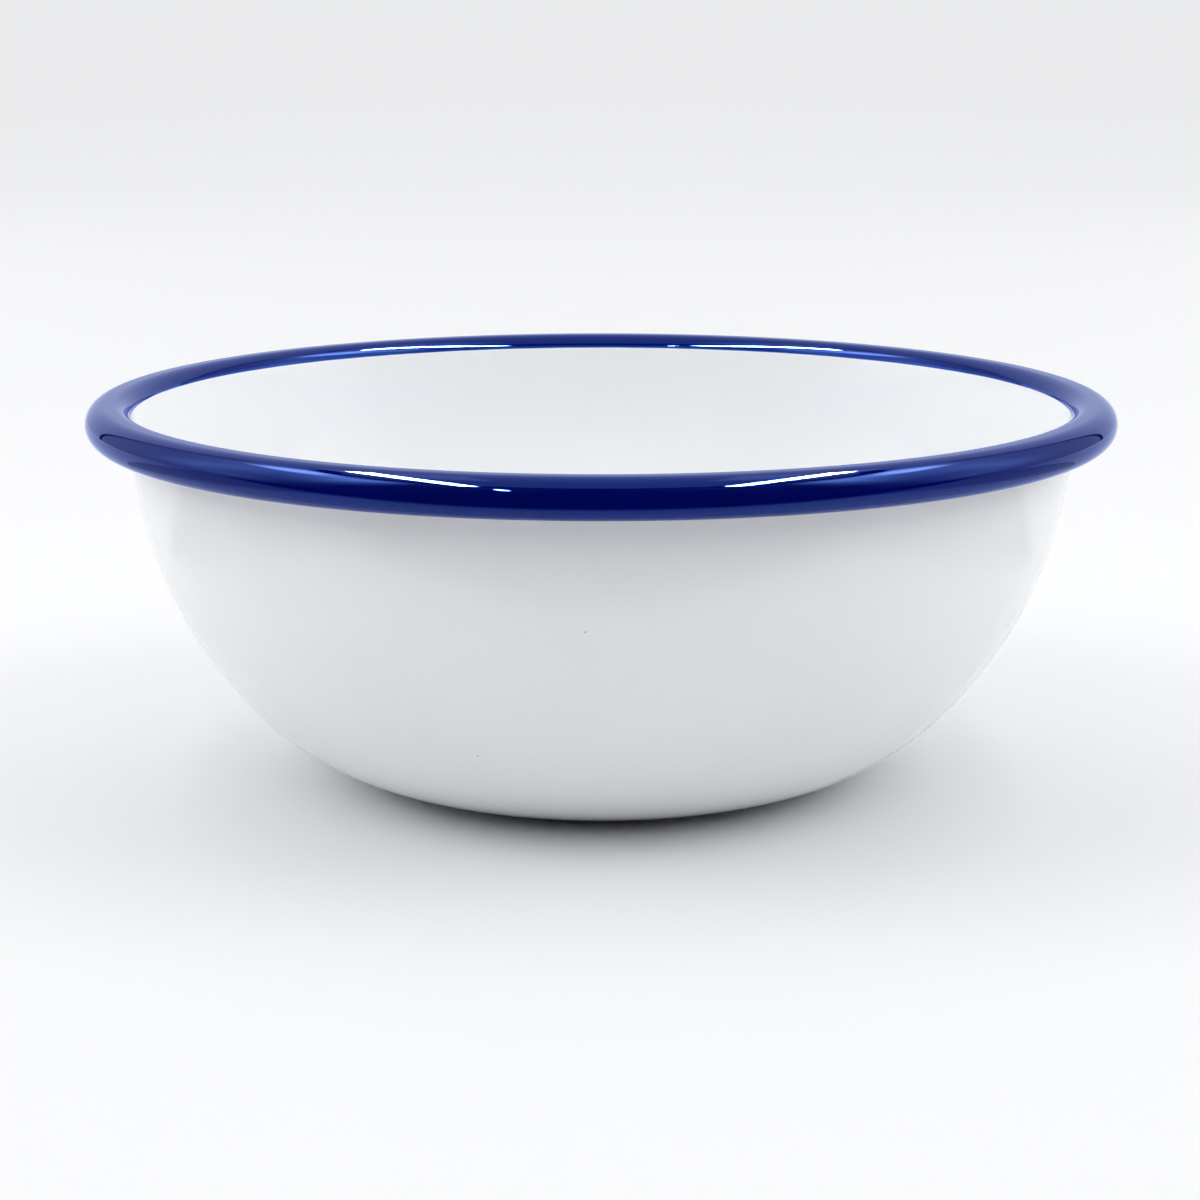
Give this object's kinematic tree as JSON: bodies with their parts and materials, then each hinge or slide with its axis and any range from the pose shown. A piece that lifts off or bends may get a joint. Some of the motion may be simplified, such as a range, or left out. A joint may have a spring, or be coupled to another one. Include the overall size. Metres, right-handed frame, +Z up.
{
  "type": "enamel bowl",
  "caption": "Round deep bowl of enamelled sheet steel, white inside and out, with a blue rolled rim, a curved wall and a small flat foot ring; holds food or ingredients.",
  "frame": {"origin": "centre of the plane that the bowl stands on, under the foot ring", "axes": "+Z up along the bowl's axis of revolution; X and Y are equal"},
  "size_m": [0.16, 0.16, 0.0601],
  "materials": {
    "bare_steel": "bare drawn sheet steel, hidden under the enamel and inside the curl",
    "inside_white": "glossy white vitreous enamel",
    "outside_white": "glossy white vitreous enamel",
    "rim_blue": "glossy cobalt-blue vitreous enamel"
  },
  "bodies": {
    "root": {"steel_body": "bare_steel", "inner_white_enamel": "inside_white", "outer_white_enamel": "outside_white", "blue_rim_enamel": "rim_blue"}
  },
  "joints": []
}
